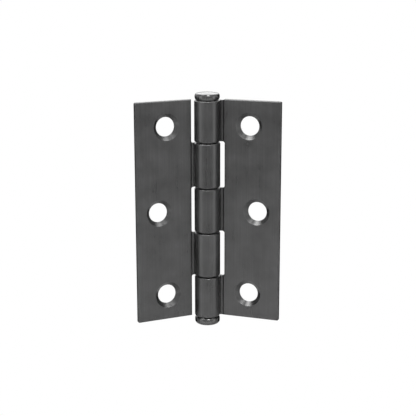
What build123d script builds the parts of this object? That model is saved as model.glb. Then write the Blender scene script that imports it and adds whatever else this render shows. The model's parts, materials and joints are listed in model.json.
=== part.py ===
# Three inch steel butt hinge: two rolled leaves, a headed pin and a button tip.
# The hinge stands upright and part open, in millimetres, with +Z up along the pin.
# The origin lies on the back of the frame leaf, midway between its two end screw holes.
from build123d import *
import os
from math import atan, cos, degrees, isclose, radians, sin, sqrt

# Leaves
LEAF_HEIGHT = 76.2  # 3 in, along the pin
OPEN_WIDTH = 50.8  # 2 in, over both leaves laid flat
SHEET = 1.6  # strip that both leaves are stamped from
CLOSED_GAP = 2.4  # between the two leaves when they are shut
REST_OPENING = 136.6  # degrees between the leaves as they stand: 0 is shut, 180 is flat
FRAME_NECK_ROOT = 5.7  # from the pin axis to the frame leaf's inner edge between the knuckles
DOOR_NECK_ROOT = 5.2  # the same on the door leaf
CRANK_END = 1.2  # from the pin axis to where the cranked neck has reached the barrel's back
NOTCH_RADIUS = 0.7  # in the corners beside each neck
CORNER_RADIUS = 0.5  # of the four outer corners
EDGE_ROUND = 0.4  # on the outline of the stamping and on the knuckles' outer rims
GROOVE_LINE = 5.05  # from the pin axis to the groove pressed along the foot of the necks
GROOVE_RADIUS = 0.6
GROOVE_DEPTH = 0.45

# Knuckles and pin
PIN_DIAMETER = 5.6
RUNNING_CLEARANCE = 0.05  # radial, between the pin and the door leaf's knuckles
END_KNUCKLE = 14.6  # from the leaf's top and bottom edges to the nearest joint
TOP_STEP = 0.33  # the top knuckle ends this much below the leaf's top edge
KNUCKLE_GAP = 0.4  # along the pin, between neighbouring knuckles

# Screw holes
HOLE_LINE = 14.3  # from the pin axis to the two end holes
MIDDLE_STAGGER = 2.9  # the middle hole stands this much further out
HOLE_INSET = 8.8  # from the leaf's top and bottom edges to the end holes
HOLE_DIAMETER = 6.6
COUNTERSINK_DIAMETER = 9.2
COUNTERSINK_ANGLE = 90

# Pin head
HEAD_DIAMETER = 8.5  # where the bulging side is widest
HEAD_SIDE = 1.95  # height of the side
HEAD_WIDEST = 0.85  # from the underside up to where the side is widest
HEAD_UNDERCUT = 0.25  # the underside is smaller than the widest place by this on the radius
HEAD_TAPER = 0.3  # the top edge is smaller by this on the radius
HEAD_CROWN = 0.45  # rise of the domed top
HEAD_ROUND = 0.25  # on the top edge
HEAD_GAP = 0.3  # between the barrel's top and the head

# Bottom tip
TIP_DIAMETER = 8.7
TIP_THICKNESS = 2.85
TIP_GAP = 0.05  # between the barrel's bottom and the tip
TIP_LAND = 0.4  # flat ring left on the tip's top, round its shank
TIP_SIDE = 0.6  # straight side left between the tip's two rounds
SHANK_LENGTH = 6.0
SHANK_GAP = 0.3  # between the tip's shank and the end of the pin
LEAD_CHAMFER = 0.4  # on the hidden ends of the pin and the shank

pin_radius = PIN_DIAMETER / 2
half_height = LEAF_HEIGHT / 2
half_width = OPEN_WIDTH / 2
face_offset = CLOSED_GAP / 2  # each leaf's face lies this far behind the pin axis
seat_offset = face_offset + SHEET
knuckle_top = half_height - TOP_STEP
end_joint = half_height - END_KNUCKLE
inner_joint = end_joint / 3  # the three inner knuckles are equally long
hole_height = half_height - HOLE_INSET

pin_axis = Vector(-HOLE_LINE, -seat_offset, 0)
door_turn = radians(REST_OPENING)
# Each plane has the pin axis at its origin, x along the leaf and y towards the leaf's back.
# The door leaf is the same kind of stamping turned over, so its plane looks down.
frame_plane = Plane(origin=pin_axis, x_dir=(1, 0, 0), z_dir=(0, 0, 1))
door_plane = Plane(origin=pin_axis, x_dir=(cos(door_turn), -sin(door_turn), 0), z_dir=(0, 0, -1))

# Heights cut out of each leaf's inner edge, mostly for the other leaf's knuckles.
half_gap = KNUCKLE_GAP / 2
frame_notches = [
    (knuckle_top, LEAF_HEIGHT),
    (inner_joint - half_gap, end_joint + half_gap),
    (-end_joint - half_gap, -inner_joint + half_gap),
]
door_notches = [
    (end_joint - half_gap, LEAF_HEIGHT),
    (-inner_joint - half_gap, inner_joint + half_gap),
    (-LEAF_HEIGHT, -end_joint + half_gap),
]


def rolled_leaf(
    plane: Plane, bore_radius: float, neck_root: float, notches: list[tuple[float, float]]
) -> Part:
    """One leaf: a flat strip whose cranked necks roll round the pin into closed knuckles."""
    knuckle_radius = bore_radius + SHEET
    crank_start = neck_root - NOTCH_RADIUS
    crank_length = crank_start - CRANK_END
    crank_angle = 2 * degrees(atan((knuckle_radius - seat_offset) / crank_length))
    crank_radius = crank_length / (2 * sin(radians(crank_angle)))
    seam = sqrt(knuckle_radius**2 - face_offset**2)  # where the roll meets the leaf's face
    face_plane = Plane(
        origin=plane.from_local_coords((0, face_offset, 0)), x_dir=plane.x_dir, z_dir=-plane.y_dir
    )

    def is_bend(edge: Edge) -> bool:
        """Whether an edge of a broad face is where the neck bends or the roll meets the face."""
        along = plane.to_local_coords(edge.center()).X
        return isclose(along, crank_start) or isclose(along, seam, rel_tol=1e-6)

    with BuildPart() as leaf:
        with BuildSketch(plane):
            with BuildLine():
                back = Line((half_width, seat_offset), (crank_start, seat_offset))
                bend_in = JernArc(back @ 1, back % 1, crank_radius, -crank_angle)
                bend_out = JernArc(bend_in @ 1, bend_in % 1, crank_radius, crank_angle)
                Polyline(
                    bend_out @ 1,
                    (0, knuckle_radius),
                    (0, face_offset),
                    (half_width, face_offset),
                    (half_width, seat_offset),
                )
            make_face()
            Circle(knuckle_radius)
            Circle(bore_radius, mode=Mode.SUBTRACT)
        extrude(amount=half_height, both=True)
        fillet(leaf.edges().filter_by(Axis(pin_axis, plane.y_dir)), CORNER_RADIUS)

        notch_width = neck_root + 2 * knuckle_radius
        with BuildSketch(face_plane) as openings:
            for low, high in notches:
                with Locations((neck_root - notch_width / 2, (low + high) / 2)):
                    Rectangle(notch_width, high - low)
            fillet(openings.vertices().group_by(Axis.X)[-1], NOTCH_RADIUS)
        extrude(amount=2 * knuckle_radius, both=True, mode=Mode.SUBTRACT)

        broad_faces = leaf.faces().filter_by(Axis(pin_axis, plane.y_dir)).sort_by(SortBy.AREA)[-2:]
        outline = ShapeList(edge for face in broad_faces for edge in face.outer_wire().edges())
        stamped_edges = outline.filter_by(lambda edge: not is_bend(edge))
        knuckle_rims = leaf.edges().filter_by(GeomType.CIRCLE).filter_by(
            lambda edge: isclose(edge.radius, knuckle_radius)
        )
        fillet(stamped_edges + knuckle_rims, EDGE_ROUND)

        with BuildSketch(plane):
            with Locations((GROOVE_LINE, face_offset + GROOVE_DEPTH - GROOVE_RADIUS)):
                Circle(GROOVE_RADIUS)
        extrude(amount=half_height, both=True, mode=Mode.SUBTRACT)

        with Locations(face_plane):
            with Locations(
                (HOLE_LINE, hole_height),
                (HOLE_LINE + MIDDLE_STAGGER, 0),
                (HOLE_LINE, -hole_height),
            ):
                CounterSinkHole(HOLE_DIAMETER / 2, COUNTERSINK_DIAMETER / 2, None, COUNTERSINK_ANGLE)
    return leaf.part


frame_leaf = rolled_leaf(frame_plane, pin_radius, FRAME_NECK_ROOT, frame_notches)
frame_leaf.label = "frame_leaf"

door_leaf = rolled_leaf(door_plane, pin_radius + RUNNING_CLEARANCE, DOOR_NECK_ROOT, door_notches)
door_leaf.label = "door_leaf"

# Sections through the pin axis, turned about it
turning_plane = Plane(origin=pin_axis, x_dir=(1, 0, 0), z_dir=(0, -1, 0))
head_base = knuckle_top + HEAD_GAP
head_edge = head_base + HEAD_SIDE
head_top = head_edge + HEAD_CROWN
head_radius = HEAD_DIAMETER / 2
edge_radius = head_radius - HEAD_TAPER
crown_radius = (edge_radius**2 + HEAD_CROWN**2) / (2 * HEAD_CROWN)
tip_top = -half_height - TIP_GAP
tip_base = tip_top - TIP_THICKNESS
tip_top_round = TIP_DIAMETER / 2 - pin_radius - TIP_LAND
tip_bottom_round = TIP_THICKNESS - tip_top_round - TIP_SIDE
shank_end = tip_top + SHANK_LENGTH
pin_end = shank_end + SHANK_GAP

with BuildPart() as hinge_pin:
    with BuildSketch(turning_plane) as pin_section:
        with BuildLine():
            shank = Polyline(
                (0, head_top),
                (0, pin_end),
                (pin_radius - LEAD_CHAMFER, pin_end),
                (pin_radius, pin_end + LEAD_CHAMFER),
                (pin_radius, head_base),
                (head_radius - HEAD_UNDERCUT, head_base),
            )
            side = ThreePointArc(
                shank @ 1, (head_radius, head_base + HEAD_WIDEST), (edge_radius, head_edge)
            )
            RadiusArc(side @ 1, shank @ 0, -crown_radius)
        make_face()
        fillet(pin_section.vertices().sort_by_distance(side @ 1)[0], HEAD_ROUND)
    revolve(axis=Axis(pin_axis, (0, 0, 1)))
hinge_pin.part.label = "hinge_pin"

with BuildPart() as bottom_tip:
    with BuildSketch(turning_plane) as tip_section:
        with BuildLine():
            Polyline(
                (0, tip_base),
                (TIP_DIAMETER / 2, tip_base),
                (TIP_DIAMETER / 2, tip_top),
                (pin_radius, tip_top),
                (pin_radius, shank_end - LEAD_CHAMFER),
                (pin_radius - LEAD_CHAMFER, shank_end),
                (0, shank_end),
                close=True,
            )
        make_face()
        fillet(tip_section.vertices().group_by(Axis.X)[-1].sort_by(Axis.Y)[0], tip_bottom_round)
        fillet(tip_section.vertices().group_by(Axis.X)[-1].sort_by(Axis.Y)[-1], tip_top_round)
    revolve(axis=Axis(pin_axis, (0, 0, 1)))
bottom_tip.part.label = "bottom_tip"

os.makedirs("parts", exist_ok=True)
export_step(frame_leaf, "parts/frame_leaf.step")
export_step(door_leaf, "parts/door_leaf.step")
export_step(hinge_pin.part, "parts/hinge_pin.step")
export_step(bottom_tip.part, "parts/bottom_tip.step")
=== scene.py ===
"""Studio scene of a satin black butt hinge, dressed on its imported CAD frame.

The two leaves, the headed pin and the button tip keep their CAD meshes. The classes here give them
coated steel finishes, and set the floor, the soft boxes, the dark screens and the camera round
them. Lengths are in metres and angles in degrees unless a name or a comment says otherwise.
"""

import json
import logging
from dataclasses import dataclass, field
from enum import Enum
from math import cos, radians, sin
from typing import Any

import bpy
import numpy as np
from mathutils import Matrix, Vector


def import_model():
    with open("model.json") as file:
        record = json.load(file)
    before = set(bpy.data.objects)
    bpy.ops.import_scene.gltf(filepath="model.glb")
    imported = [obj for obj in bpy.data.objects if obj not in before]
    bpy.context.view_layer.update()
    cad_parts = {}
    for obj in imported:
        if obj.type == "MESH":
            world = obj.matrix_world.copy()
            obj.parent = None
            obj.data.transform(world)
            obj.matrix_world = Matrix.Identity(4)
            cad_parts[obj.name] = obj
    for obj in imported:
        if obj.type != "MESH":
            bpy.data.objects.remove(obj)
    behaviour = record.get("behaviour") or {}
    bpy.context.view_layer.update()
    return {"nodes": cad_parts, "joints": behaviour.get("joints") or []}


LOG = logging.getLogger("hinge")

NOISE_LOW, NOISE_HIGH = 0.3, 0.7  # nearly all values of a noise lie between these
EDGE_START, EDGE_FULL = 0.995, 0.90  # cosine of bevelled to true normal: wear starts, wear is full
PATCH_LOW, PATCH_HIGH = 0.35, 0.65  # noise between which the wear grows to its full share
PATCH_LEAST = 0.25  # share of the wear that is left between the patches
LAMP_FACTOR = 4.0  # power of a rectangular lamp over its area and its face's brightness
SENSOR_WIDTH = 36.0  # millimetres
FLOOR_SIDES = 64
FLAG_COLUMNS, FLAG_ROWS = 17, 5

Socket = bpy.types.NodeSocket
Triple = tuple[float, float, float]


class Lay(Enum):
    """Way that the fine lines of the steel run under the coating."""

    DRAWN = "straight along the pin"
    TURNED = "in rings round the pin"


class Facing(Enum):
    """What a soft box points at."""

    HINGE = "at the hinge"
    FLOOR = "straight down"


class NodeGraph:
    """One shader tree, with short calls that add nodes and wire them."""

    def __init__(self, tree: bpy.types.NodeTree) -> None:
        """Take over a tree and empty it."""
        tree.nodes.clear()
        self.tree = tree

    def add(
        self, kind: str, inputs: dict[str | int, Any] | None = None, **settings: Any
    ) -> bpy.types.Node:
        """Add a node.

        Args:
            kind: Blender's name of the node type.
            inputs: values or output sockets, by the name or number of the input they go to.
            **settings: properties of the node itself.

        Returns:
            The new node.
        """
        node = self.tree.nodes.new(kind)
        for name, value in settings.items():
            setattr(node, name, value)
        for key, value in (inputs or {}).items():
            if isinstance(value, Socket):
                self.tree.links.new(value, node.inputs[key])
            else:
                node.inputs[key].default_value = value
        return node

    def math(self, operation: str, *values: Any) -> Socket:
        """Combine numbers or sockets with one Math operation and return its output."""
        return self.add("ShaderNodeMath", dict(enumerate(values)), operation=operation).outputs[0]

    def vector(self, operation: str, *values: Any) -> bpy.types.Node:
        """Combine vectors or sockets with one Vector Math operation and return the node."""
        return self.add("ShaderNodeVectorMath", dict(enumerate(values)), operation=operation)

    def noise(self, coords: Socket, pitch: float, detail: float) -> Socket:
        """Noise of about one feature per pitch metres along the given coordinates, from 0 to 1."""
        inputs = {"Vector": coords, "Scale": 1.0 / pitch, "Detail": detail, "Roughness": 0.55}
        return self.add("ShaderNodeTexNoise", inputs).outputs["Fac"]

    def span(self, value: Any, low: float, high: float, to_low: float, to_high: float) -> Socket:
        """Map a value from low..high to to_low..to_high, held at the ends."""
        inputs = {0: value, 1: low, 2: high, 3: to_low, 4: to_high}
        return self.add("ShaderNodeMapRange", inputs, clamp=True).outputs[0]

    def swing(self, noise: Socket, middle: float, reach: float) -> Socket:
        """Turn a noise into a value that swings by reach to either side of a middle one."""
        return self.span(noise, NOISE_LOW, NOISE_HIGH, middle - reach, middle + reach)

    def mix_colour(self, factor: Any, first: Any, second: Any) -> Socket:
        """Blend two colours by a factor and return the colour."""
        inputs = {0: factor, 6: first, 7: second}
        return self.add("ShaderNodeMix", inputs, data_type="RGBA").outputs[2]

    def bump(self, height: Socket, distance: float, **below: Socket) -> Socket:
        """Bump of a height at a real depth, over a normal below it where one is given."""
        inputs = {"Height": height, "Distance": distance, "Strength": 1.0, **below}
        return self.add("ShaderNodeBump", inputs).outputs[0]

    def rays(self) -> tuple[Socket, Socket]:
        """Whether a ray comes from the camera, and whether it is a glossy or transmitted one.

        Returns:
            The camera ray's socket and the shiny ray's socket.
        """
        path = self.add("ShaderNodeLightPath").outputs
        shiny = self.math("MAXIMUM", path["Is Glossy Ray"], path["Is Transmission Ray"])
        return path["Is Camera Ray"], shiny


def rgba(grey: float, tint: Triple = (1.0, 1.0, 1.0)) -> tuple[float, float, float, float]:
    """A linear grey with a slight tint, as a colour socket takes it."""
    return (grey * tint[0], grey * tint[1], grey * tint[2], 1.0)


def direction(azimuth: float, elevation: float) -> Vector:
    """Unit vector at an azimuth round +Z from -Y towards +X, and an elevation over level."""
    turn, rise = radians(azimuth), radians(elevation)
    return Vector((sin(turn) * cos(rise), -cos(turn) * cos(rise), sin(rise)))


def put(name: str, data: bpy.types.ID) -> bpy.types.Object:
    """Add an object with the given data to the scene.

    Args:
        name: name of the object.
        data: its mesh, light or camera.

    Returns:
        The new object.
    """
    item = bpy.data.objects.new(name, data)
    bpy.context.scene.collection.objects.link(item)
    return item


def new_material(name: str) -> tuple[bpy.types.Material, NodeGraph]:
    """Add a material with an empty graph.

    Args:
        name: name of the material.

    Returns:
        The material and its graph.
    """
    material = bpy.data.materials.new(name)
    material.use_nodes = True
    return material, NodeGraph(material.node_tree)


def matt_paint(name: str, grey: float) -> bpy.types.Material:
    """Plain matt material for what stands round the hinge.

    Args:
        name: name of the material.
        grey: its linear grey.

    Returns:
        The new material.
    """
    material, graph = new_material(name)
    matt = graph.add("ShaderNodeBsdfDiffuse", {"Color": rgba(grey)})
    graph.add("ShaderNodeOutputMaterial", {"Surface": matt.outputs[0]})
    return material


def grid_mesh(name: str, points: np.ndarray) -> bpy.types.Mesh:
    """Mesh of a grid of points, with a quad between each four neighbours.

    Args:
        name: name of the mesh.
        points: array of rows, columns and three coordinates.

    Returns:
        The new mesh.
    """
    rows, columns = points.shape[:2]
    index = np.arange(rows * columns).reshape(rows, columns)
    quads = np.stack([index[:-1, :-1], index[1:, :-1], index[1:, 1:], index[:-1, 1:]], axis=-1)
    mesh = bpy.data.meshes.new(name)
    mesh.from_pydata(points.reshape(-1, 3).tolist(), [], quads.reshape(-1, 4).tolist())
    return mesh


@dataclass(frozen=True)
class CoatedSteel:
    """Satin black coating on steel, with the steel's fine lines showing through.

    Attributes:
        name: name of the material.
        lay: way that the lines run.
        grey: linear grey of the sound coating.
        worn_grey: linear grey where handling has thinned it along the edges.
        tint: slight colour of the sound coating.
        roughness: middle of the roughness range.
        rough_swing: how far the lines and the clouds each move the roughness.
        ior: refractive index of the coating, which sets how much it mirrors.
        line_pitch: distance between the lines.
        line_depth: height of the lines in the bump.
        line_stretch: length of a drawn line over its pitch.
        line_shade: share by which a line lightens or darkens the grey.
        cloud_pitch: distance between the clouds.
        cloud_shade: share by which a cloud lightens or darkens the grey.
        peel_pitch: distance between the dimples of the sprayed coat.
        peel_depth: depth of the dimples.
        edge_radius: how far wear reaches from an edge.
    """

    name: str
    lay: Lay
    grey: float = 0.018
    worn_grey: float = 0.036
    tint: Triple = (1.0, 1.0, 1.01)
    roughness: float = 0.30
    rough_swing: float = 0.02
    ior: float = 1.62
    line_pitch: float = 0.00042
    line_depth: float = 0.0000006
    line_stretch: float = 70.0
    line_shade: float = 0.32
    cloud_pitch: float = 0.007
    cloud_shade: float = 0.55
    peel_pitch: float = 0.0006
    peel_depth: float = 0.0000008
    edge_radius: float = 0.00035

    def line_coords(self, graph: NodeGraph, local: Socket) -> Socket:
        """Coordinates in which the lines are round noise cells.

        Drawn lines shrink the height by the stretch. Turned lines use the distance from the pin
        axis and the height, which are the same all the way round.

        Args:
            graph: the material's graph.
            local: coordinates with the pin axis at the origin.

        Returns:
            The coordinates for the line noise.
        """
        if self.lay is Lay.DRAWN:
            return graph.vector("MULTIPLY", local, (1.0, 1.0, 1.0 / self.line_stretch)).outputs[0]
        parts = graph.add("ShaderNodeSeparateXYZ", {0: local}).outputs
        flat = graph.add("ShaderNodeCombineXYZ", {0: parts[0], 1: parts[1]}).outputs[0]
        radius = graph.vector("LENGTH", flat).outputs["Value"]
        return graph.add("ShaderNodeCombineXYZ", {0: radius, 1: parts[2]}).outputs[0]

    def edge_wear(self, graph: NodeGraph, cloud: Socket) -> Socket:
        """How far the coating is thinned: in patches along the edges, and nowhere else.

        Near an edge the Bevel node's normal turns away from the true one, and that turn is where
        the wear is.

        Args:
            graph: the material's graph.
            cloud: the noise that makes the patches.

        Returns:
            The wear, from 0 to 1.
        """
        rounded = graph.add("ShaderNodeBevel", {"Radius": self.edge_radius}, samples=8).outputs[0]
        true_normal = graph.add("ShaderNodeNewGeometry").outputs["Normal"]
        sameness = graph.vector("DOT_PRODUCT", rounded, true_normal).outputs["Value"]
        edge = graph.span(sameness, EDGE_START, EDGE_FULL, 0.0, 1.0)
        patches = graph.span(cloud, PATCH_LOW, PATCH_HIGH, PATCH_LEAST, 1.0)
        return graph.math("MULTIPLY", edge, patches)

    def colour(self, graph: NodeGraph, lines: Socket, cloud: Socket) -> Socket:
        """Colour of the coating: its grey under the lines and clouds, and paler where it is worn.

        Args:
            graph: the material's graph.
            lines: noise of the lines.
            cloud: noise of the clouds.

        Returns:
            The colour.
        """
        line_light = graph.swing(lines, 1.0, self.line_shade)
        cloud_light = graph.swing(cloud, 1.0, self.cloud_shade)
        sound = graph.vector("SCALE", rgba(self.grey, self.tint)[:3])
        light = graph.math("MULTIPLY", line_light, cloud_light)
        graph.tree.links.new(light, sound.inputs["Scale"])
        wear = self.edge_wear(graph, cloud)
        return graph.mix_colour(wear, sound.outputs[0], rgba(self.worn_grey))

    def material(self, axis: Vector, turn: float) -> bpy.types.Material:
        """Build the material.

        Args:
            axis: a point on the pin axis, where the pattern is centred.
            turn: angle of the leaf round the pin, in radians.

        Returns:
            The new material.
        """
        material, graph = new_material(self.name)
        place = graph.add("ShaderNodeTexCoord").outputs["Object"]
        mapping = {"Vector": place, "Location": axis, "Rotation": (0.0, 0.0, turn)}
        local = graph.add("ShaderNodeMapping", mapping, vector_type="TEXTURE").outputs[0]

        lines = graph.noise(self.line_coords(graph, local), self.line_pitch, 3.0)
        cloud = graph.noise(local, self.cloud_pitch, 4.0)
        peel = graph.noise(local, self.peel_pitch, 2.0)

        rough_lines = graph.swing(lines, self.roughness, self.rough_swing)
        rough_cloud = graph.swing(cloud, 0.0, self.rough_swing)
        peel_bump = graph.bump(peel, self.peel_depth)
        shader = graph.add(
            "ShaderNodeBsdfPrincipled",
            {
                "Base Color": self.colour(graph, lines, cloud),
                "Roughness": graph.math("ADD", rough_lines, rough_cloud),
                "IOR": self.ior,
                "Normal": graph.bump(lines, self.line_depth, Normal=peel_bump),
            },
        )
        graph.add("ShaderNodeOutputMaterial", {"Surface": shader.outputs[0]})
        return material


@dataclass
class Leaf:
    """One rolled leaf, with its knuckles and screw holes in its CAD node.

    Attributes:
        node: name of the CAD node.
        turn: angle of the leaf round the pin from +X.
        finish: what the leaf is coated with.
    """

    node: str
    turn: float
    finish: CoatedSteel

    def dress(self, objects: dict[str, bpy.types.Object], axis: Vector) -> bpy.types.Object:
        """Give the leaf its finish.

        Args:
            objects: the CAD objects by name.
            axis: a point on the pin axis.

        Returns:
            The dressed object.
        """
        piece = objects[self.node]
        piece.material_slots[0].material = self.finish.material(axis, radians(self.turn))
        return piece


@dataclass
class PinSet:
    """The headed pin and the button tip, which are turned parts on one axis.

    Attributes:
        finish: what both are coated with.
        nodes: names of the CAD nodes.
    """

    finish: CoatedSteel
    nodes: tuple[str, ...] = ("hinge_pin", "bottom_tip")

    def dress(self, objects: dict[str, bpy.types.Object], axis: Vector) -> list[bpy.types.Object]:
        """Give both pieces the one finish.

        Args:
            objects: the CAD objects by name.
            axis: a point on the pin axis.

        Returns:
            The dressed objects.
        """
        material = self.finish.material(axis, 0.0)
        pieces = [objects[name] for name in self.nodes]
        for piece in pieces:
            piece.material_slots[0].material = material
        return pieces


@dataclass(frozen=True)
class SoftBox:
    """A rectangular soft light.

    Attributes:
        name: name of the light.
        azimuth: direction from the hinge, from the camera's azimuth and positive to the right.
        elevation: height of that direction over level.
        distance: from the hinge to the middle of the light.
        width: side across.
        height: side up and down.
        radiance: brightness of its face, where 1 is white.
        facing: what it points at.
        spread: angle that its light fans out over.
    """

    name: str
    azimuth: float
    elevation: float
    distance: float
    width: float
    height: float
    radiance: float
    facing: Facing = Facing.HINGE
    spread: float = 180.0

    def hang(self, centre: Vector, camera_azimuth: float) -> bpy.types.Object:
        """Hang the light in the studio.

        Args:
            centre: middle of the hinge.
            camera_azimuth: the azimuth that its own is counted from.

        Returns:
            The light.
        """
        data = bpy.data.lights.new(self.name, "AREA")
        data.shape = "RECTANGLE"
        data.size, data.size_y = self.width, self.height
        data.energy = self.radiance * LAMP_FACTOR * self.width * self.height
        data.spread = radians(self.spread)
        light = put(self.name, data)
        away = direction(camera_azimuth + self.azimuth, self.elevation)
        light.location = centre + self.distance * away
        if self.facing is Facing.HINGE:
            light.rotation_euler = away.to_track_quat("Z", "Y").to_euler()
        else:
            light.rotation_euler = (0.0, 0.0, radians(camera_azimuth + self.azimuth))
        light.visible_camera = False
        return light


@dataclass(frozen=True)
class Flag:
    """A dark curved screen that keeps light off the edges from one side.

    Attributes:
        name: name of the screen.
        start: azimuth of its first side, from the camera's azimuth and positive to the right.
        end: azimuth of its other side.
        distance: from the hinge.
        drop: from the hinge down to its lower edge.
        rise: from the hinge up to its upper edge.
        grey: linear grey of its cloth.
    """

    name: str
    start: float
    end: float
    distance: float = 0.8
    drop: float = 0.44
    rise: float = 0.05
    grey: float = 0.03

    def hang(self, centre: Vector, camera_azimuth: float) -> bpy.types.Object:
        """Hang the screen in the studio, out of the camera's sight.

        Its points are a piece of a cylinder round the hinge: the distance times the sine and minus
        cosine of the azimuth, at each height from the lower to the upper edge.

        Args:
            centre: what it stands round.
            camera_azimuth: the azimuth that its own are counted from.

        Returns:
            The screen.
        """
        turns = np.radians(camera_azimuth + np.linspace(self.start, self.end, FLAG_COLUMNS))
        heights = np.linspace(-self.drop, self.rise, FLAG_ROWS)
        turn, height = np.meshgrid(turns, heights, indexing="ij")
        wall = np.stack(
            [self.distance * np.sin(turn), -self.distance * np.cos(turn), height], axis=-1
        )
        screen = put(self.name, grid_mesh(self.name, wall + np.array(centre)))
        screen.data.materials.append(matt_paint(self.name + "_cloth", self.grey))
        screen.visible_camera = False
        return screen


@dataclass(frozen=True)
class PhotoCamera:
    """Camera at the photograph's viewing angle.

    Attributes:
        azimuth: round +Z from the -Y side, positive towards +X.
        elevation: over level.
        distance: from the aim to the camera.
        roll: turn about the line of sight.
        lens: focal length in millimetres.
        aim: what it looks at, from the middle of the pin axis.
        near: nearest distance that it shows.
        far: furthest distance that it shows.
    """

    azimuth: float = 19.15
    elevation: float = 13.80
    distance: float = 0.36578
    roll: float = -0.09
    lens: float = 92.05
    aim: Triple = (0.000217, 0.000076, 0.000445)
    near: float = 0.01
    far: float = 50.0

    def place(self, axis: Vector) -> bpy.types.Object:
        """Add the camera and make it the scene's.

        Args:
            axis: middle of the pin axis.

        Returns:
            The camera.
        """
        data = bpy.data.cameras.new("photo_camera")
        data.sensor_width = SENSOR_WIDTH
        data.lens = self.lens
        data.clip_start, data.clip_end = self.near, self.far
        back = direction(self.azimuth, self.elevation)
        right = Vector((0.0, 0.0, 1.0)).cross(back).normalized()
        axes = Matrix((right, back.cross(right), back)).transposed().to_4x4()
        spot = Matrix.Translation(axis + Vector(self.aim) + self.distance * back)
        camera = put("photo_camera", data)
        camera.matrix_world = spot @ axes @ Matrix.Rotation(radians(self.roll), 4, "Z")
        bpy.context.scene.camera = camera
        return camera


@dataclass
class Studio:
    """Pale floor, white surroundings, soft boxes and dark screens.

    Attributes:
        boxes: the soft boxes.
        flags: the dark screens.
        fill: brightness of the surroundings as a light on matt surfaces.
        floor_drop: from the middle of the hinge down to the floor.
        floor_radius: how far the floor reaches.
        floor_core: radius of its inner ring over that reach.
        floor_grey: linear grey of the floor.
        floor_gloss: share of white that the floor shows in glossy reflections.
        shadow_near: distance from below the hinge out to which the floor shows its shadow in full.
        shadow_far: distance at which the shadow has faded into white.
        shadow_white: share of white in the floor within the near distance.
    """

    boxes: list[SoftBox] = field(default_factory=list)
    flags: list[Flag] = field(default_factory=list)
    fill: float = 0.06
    floor_drop: float = 0.45
    floor_radius: float = 6.0
    floor_core: float = 0.3
    floor_grey: float = 0.5
    floor_gloss: float = 0.45
    shadow_near: float = 0.25
    shadow_far: float = 0.75
    shadow_white: float = 0.8

    def lay_floor(self, axis: Vector) -> bpy.types.Object:
        """Lay a round floor under the hinge.

        Its points are two rings round a middle point: radius times the cosine and sine of the turn,
        at one height. Triangles join the middle to the first ring and quads join the rings.

        Args:
            axis: middle of the pin axis.

        Returns:
            The floor.
        """
        radii = np.array([self.floor_core, 1.0]) * self.floor_radius
        turns = np.linspace(0.0, 2.0 * np.pi, FLOOR_SIDES, endpoint=False)
        ring, turn = np.meshgrid(radii, turns, indexing="ij")
        flat = np.stack([ring * np.cos(turn), ring * np.sin(turn), np.zeros_like(ring)], axis=-1)
        points = np.concatenate([np.zeros((1, 3)), flat.reshape(-1, 3)])
        points += np.array([axis.x, axis.y, axis.z - self.floor_drop])
        side = np.arange(FLOOR_SIDES)
        near, after = 1 + side, 1 + (side + 1) % FLOOR_SIDES
        middle = np.stack([np.zeros_like(side), near, after], axis=1)
        rim = np.stack([near, near + FLOOR_SIDES, after + FLOOR_SIDES, after], axis=1)
        mesh = bpy.data.meshes.new("floor")
        mesh.from_pydata(points.tolist(), [], middle.tolist() + rim.tolist())
        floor = put("floor", mesh)
        floor.data.materials.append(self.floor_paint(axis))
        return floor

    def floor_paint(self, axis: Vector) -> bpy.types.Material:
        """Pale matt floor that takes shadows, and fades into the white surroundings.

        Args:
            axis: middle of the pin axis, under which the floor takes shadows.

        Returns:
            The material.
        """
        material, graph = new_material("floor_paint")
        from_camera, shiny = graph.rays()
        below = tuple(axis - Vector((0.0, 0.0, self.floor_drop)))
        place = graph.add("ShaderNodeTexCoord").outputs["Object"]
        away = graph.vector("DISTANCE", place, below).outputs["Value"]
        fade = graph.span(away, self.shadow_near, self.shadow_far, self.shadow_white, 1.0)
        seen = graph.math("MULTIPLY", from_camera, fade)
        share = graph.math("MAXIMUM", seen, graph.math("MULTIPLY", shiny, self.floor_gloss))
        matt = graph.add("ShaderNodeBsdfDiffuse", {"Color": rgba(self.floor_grey)})
        white = graph.add("ShaderNodeEmission", {"Color": rgba(1.0), "Strength": 1.0})
        both = graph.add("ShaderNodeMixShader", {0: share, 1: matt.outputs[0], 2: white.outputs[0]})
        graph.add("ShaderNodeOutputMaterial", {"Surface": both.outputs[0]})
        return material

    def light_surroundings(self) -> bpy.types.World:
        """White surroundings: full white to the eye and in gloss, the fill on matt surfaces.

        Returns:
            The scene's new world.
        """
        world = bpy.data.worlds.new("surroundings")
        world.use_nodes = True
        graph = NodeGraph(world.node_tree)
        from_camera, shiny = graph.rays()
        white = graph.math("MAXIMUM", from_camera, shiny)
        strength = graph.span(white, 0.0, 1.0, self.fill, 1.0)
        sky = graph.add("ShaderNodeBackground", {"Color": rgba(1.0), "Strength": strength})
        graph.add("ShaderNodeOutputWorld", {"Surface": sky.outputs[0]})
        bpy.context.scene.world = world
        return world

    def build(self, axis: Vector, camera_azimuth: float) -> None:
        """Set up everything round the hinge.

        Args:
            axis: middle of the pin axis.
            camera_azimuth: the azimuth that the boxes' and screens' own are counted from.
        """
        self.lay_floor(axis)
        self.light_surroundings()
        for item in (*self.boxes, *self.flags):
            item.hang(axis, camera_azimuth)
            LOG.info("hung %s", item.name)


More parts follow.
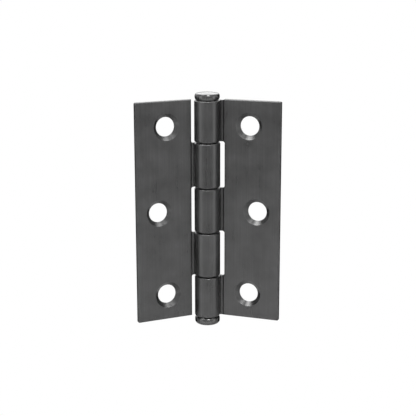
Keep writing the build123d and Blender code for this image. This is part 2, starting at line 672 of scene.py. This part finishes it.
def photo_studio() -> Studio:
    """The boxes and screens as the photograph's reflections place them.

    Returns:
        The studio, not yet built.
    """
    boxes = [
        SoftBox(
            "left_overhead_box", azimuth=-71.0, elevation=64.0, distance=1.1,
            width=0.6, height=0.65, radiance=8.0,
        ),
        SoftBox(
            "right_overhead_box", azimuth=83.0, elevation=62.0, distance=1.15,
            width=0.6, height=0.7, radiance=4.0,
        ),
        SoftBox(
            "front_box", azimuth=12.0, elevation=44.0, distance=1.1,
            width=0.36, height=0.5, radiance=8.5,
        ),
        SoftBox(
            "left_box", azimuth=-62.0, elevation=0.0, distance=1.2,
            width=0.6, height=0.9, radiance=0.9,
        ),
        SoftBox(
            "right_box", azimuth=64.0, elevation=-2.0, distance=1.2,
            width=0.48, height=0.8, radiance=1.1,
        ),
        SoftBox(
            "back_box", azimuth=180.0, elevation=28.0, distance=1.4,
            width=1.8, height=0.65, radiance=1.6,
        ),
        SoftBox(
            "floor_wash", azimuth=-4.0, elevation=27.0, distance=1.12,
            width=2.4, height=0.7, radiance=4.8, facing=Facing.FLOOR, spread=90.0,
        ),
    ]
    flags = [
        Flag("left_flag", start=-180.0, end=-110.0),
        Flag("right_flag", start=110.0, end=150.0, rise=0.42),
        Flag("right_back_flag", start=150.0, end=180.0),
    ]
    return Studio(boxes, flags)


def main() -> None:
    """Load the frame, dress its pieces in order and set up the studio."""
    logging.basicConfig(level=logging.INFO, format="%(name)s: %(message)s")
    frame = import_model()
    bpy.context.scene.view_settings.view_transform = "Standard"

    swing = frame["joints"][0]
    axis = Vector(swing["pos_m"])
    opening = -swing["range_deg"][0]

    camera = PhotoCamera()
    camera.place(axis)

    leaves = [
        Leaf("frame_leaf", 0.0, CoatedSteel("frame_leaf_black", Lay.DRAWN)),
        Leaf("door_leaf", -opening, CoatedSteel("door_leaf_black", Lay.DRAWN)),
    ]
    for leaf in leaves:
        leaf.dress(frame["nodes"], axis)
        LOG.info("dressed %s", leaf.node)

    pin_black = CoatedSteel(
        "pin_black", Lay.TURNED,
        grey=0.012, worn_grey=0.024, roughness=0.16, ior=1.72, line_pitch=0.00025,
    )
    for piece in PinSet(pin_black).dress(frame["nodes"], axis):
        LOG.info("dressed %s", piece.name)

    photo_studio().build(axis, camera.azimuth)


if __name__ == "__main__":
    main()
